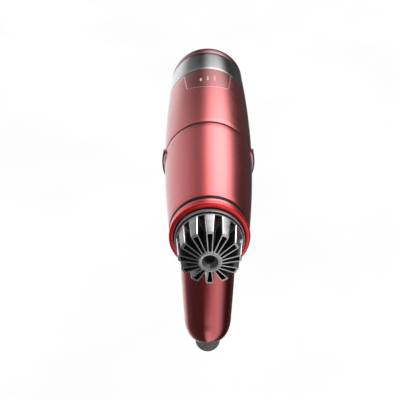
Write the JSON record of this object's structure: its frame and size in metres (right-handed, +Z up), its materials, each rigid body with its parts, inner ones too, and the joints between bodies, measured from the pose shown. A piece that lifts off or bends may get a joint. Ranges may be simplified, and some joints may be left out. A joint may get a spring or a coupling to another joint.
{
  "type": "car dryer blower",
  "caption": "Slim handheld blower with a finned outlet mixer, raked handle with sliding switch and buttons, and a pull-off inlet filter cover.",
  "frame": {"origin": "on the barrel axis, at the small flat floor of the recess in the mixer's nose", "axes": "+Y back along the barrel from the outlet to the inlet, +Z up, away from the handle, +X to the right seen from the front"},
  "size_m": [0.0604, 0.2395, 0.1974],
  "materials": {
    "red_paint": "satin metallic red paint",
    "red_gloss": "glossy red paint",
    "chrome": "polished",
    "gunmetal": "glossy gunmetal",
    "black_plastic": "fine moulded texture",
    "dark_rubber": "matte",
    "window_plastic": "glossy tinted panel",
    "steel": "brushed",
    "copper": "enamelled copper wire",
    "mica": "mica sheet",
    "circuit_board": "solder mask",
    "foam": "open-cell foam",
    "motor_steel": "rolled steel",
    "blue_plastic": "glossy"
  },
  "bodies": {
    "housing": {"barrel_joint_sleeve": "black_plastic", "chrome_intake_band": "chrome", "control_board": "circuit_board", "control_panel": "black_plastic", "cool_switch": "black_plastic", "fan_shroud": "black_plastic", "filter_capacitor": "black_plastic", "front_barrel_shell": "red_paint", "front_bearing": "steel", "front_motor_damper": "dark_rubber", "handle_back_shell": "red_paint", "handle_front_shell": "red_paint", "handle_saddle": "red_paint", "handle_screw_1": "steel", "handle_screw_2": "steel", "heat_switch": "black_plastic", "heater_coil": "steel", "heater_cross": "mica", "heater_sleeve": "mica", "inlet_foam": "foam", "inlet_frame": "black_plastic", "ion_module": "black_plastic", "motor_can": "motor_steel", "motor_end_cap": "motor_steel", "power_switch": "black_plastic", "rear_barrel_shell": "red_paint", "rear_bearing": "steel", "rear_motor_damper": "dark_rubber", "saddle_trim": "black_plastic", "speed_switch": "black_plastic", "stator_coil_1": "copper", "stator_coil_2": "copper", "stator_coil_3": "copper", "stator_core": "motor_steel", "status_window": "window_plastic", "terminal_block": "black_plastic", "thermal_cutout": "steel"},
    "nozzle_ring": {"nozzle_snap_ring": "black_plastic"},
    "nozzle_head": {"outlet_mixer": "gunmetal", "mixer_collar": "gunmetal", "outlet_bezel": "red_gloss"},
    "filter_cap": {"filter_cover": "red_paint", "filter_grille": "gunmetal", "filter_mesh": "steel", "filter_mesh_clip": "black_plastic"},
    "rotor": {"motor_shaft": "steel", "rotor_magnet": "motor_steel", "impeller": "black_plastic"},
    "power_knob": {"power_slider": "gunmetal"},
    "speed_key": {"speed_button": "gunmetal"},
    "heat_key": {"heat_button": "gunmetal"},
    "cool_key": {"cool_button": "blue_plastic"},
    "gland": {"cord_gland": "dark_rubber"}
  },
  "joints": [
    {"name": "nozzle_pull", "type": "slide", "parent": "housing", "child": "nozzle_ring", "axis": [0, -1, 0], "range_m": [0, 0.03]},
    {"name": "nozzle_spin", "type": "hinge", "parent": "nozzle_ring", "child": "nozzle_head", "pos_m": [0, 0.02, 0], "axis": [0, -1, 0], "continuous": true},
    {"name": "filter_pull", "type": "slide", "parent": "housing", "child": "filter_cap", "axis": [0, 1, 0], "range_m": [0, 0.04]},
    {"name": "fan_spin", "type": "hinge", "parent": "housing", "child": "rotor", "pos_m": [0, 0.14, 0], "axis": [0, -1, 0], "continuous": true},
    {"name": "power_slide", "type": "slide", "parent": "housing", "child": "power_knob", "axis": [0, 0.1045, 0.9945], "range_m": [0, 0.007]},
    {"name": "speed_press", "type": "slide", "parent": "housing", "child": "speed_key", "axis": [0, -0.9945, 0.1045], "range_m": [0, 0.0015], "stiffness_N_per_m": 200, "springref_m": -0.005},
    {"name": "heat_press", "type": "slide", "parent": "housing", "child": "heat_key", "axis": [0, -0.9945, 0.1045], "range_m": [0, 0.0015], "stiffness_N_per_m": 200, "springref_m": -0.005},
    {"name": "cool_press", "type": "slide", "parent": "housing", "child": "cool_key", "axis": [0, -0.9945, 0.1045], "range_m": [0, 0.0015], "stiffness_N_per_m": 200, "springref_m": -0.005},
    {"name": "gland_swivel", "type": "hinge", "parent": "housing", "child": "gland", "pos_m": [0, 0.118, -0.162], "axis": [0, 0.1045, 0.9945], "continuous": true}
  ]
}
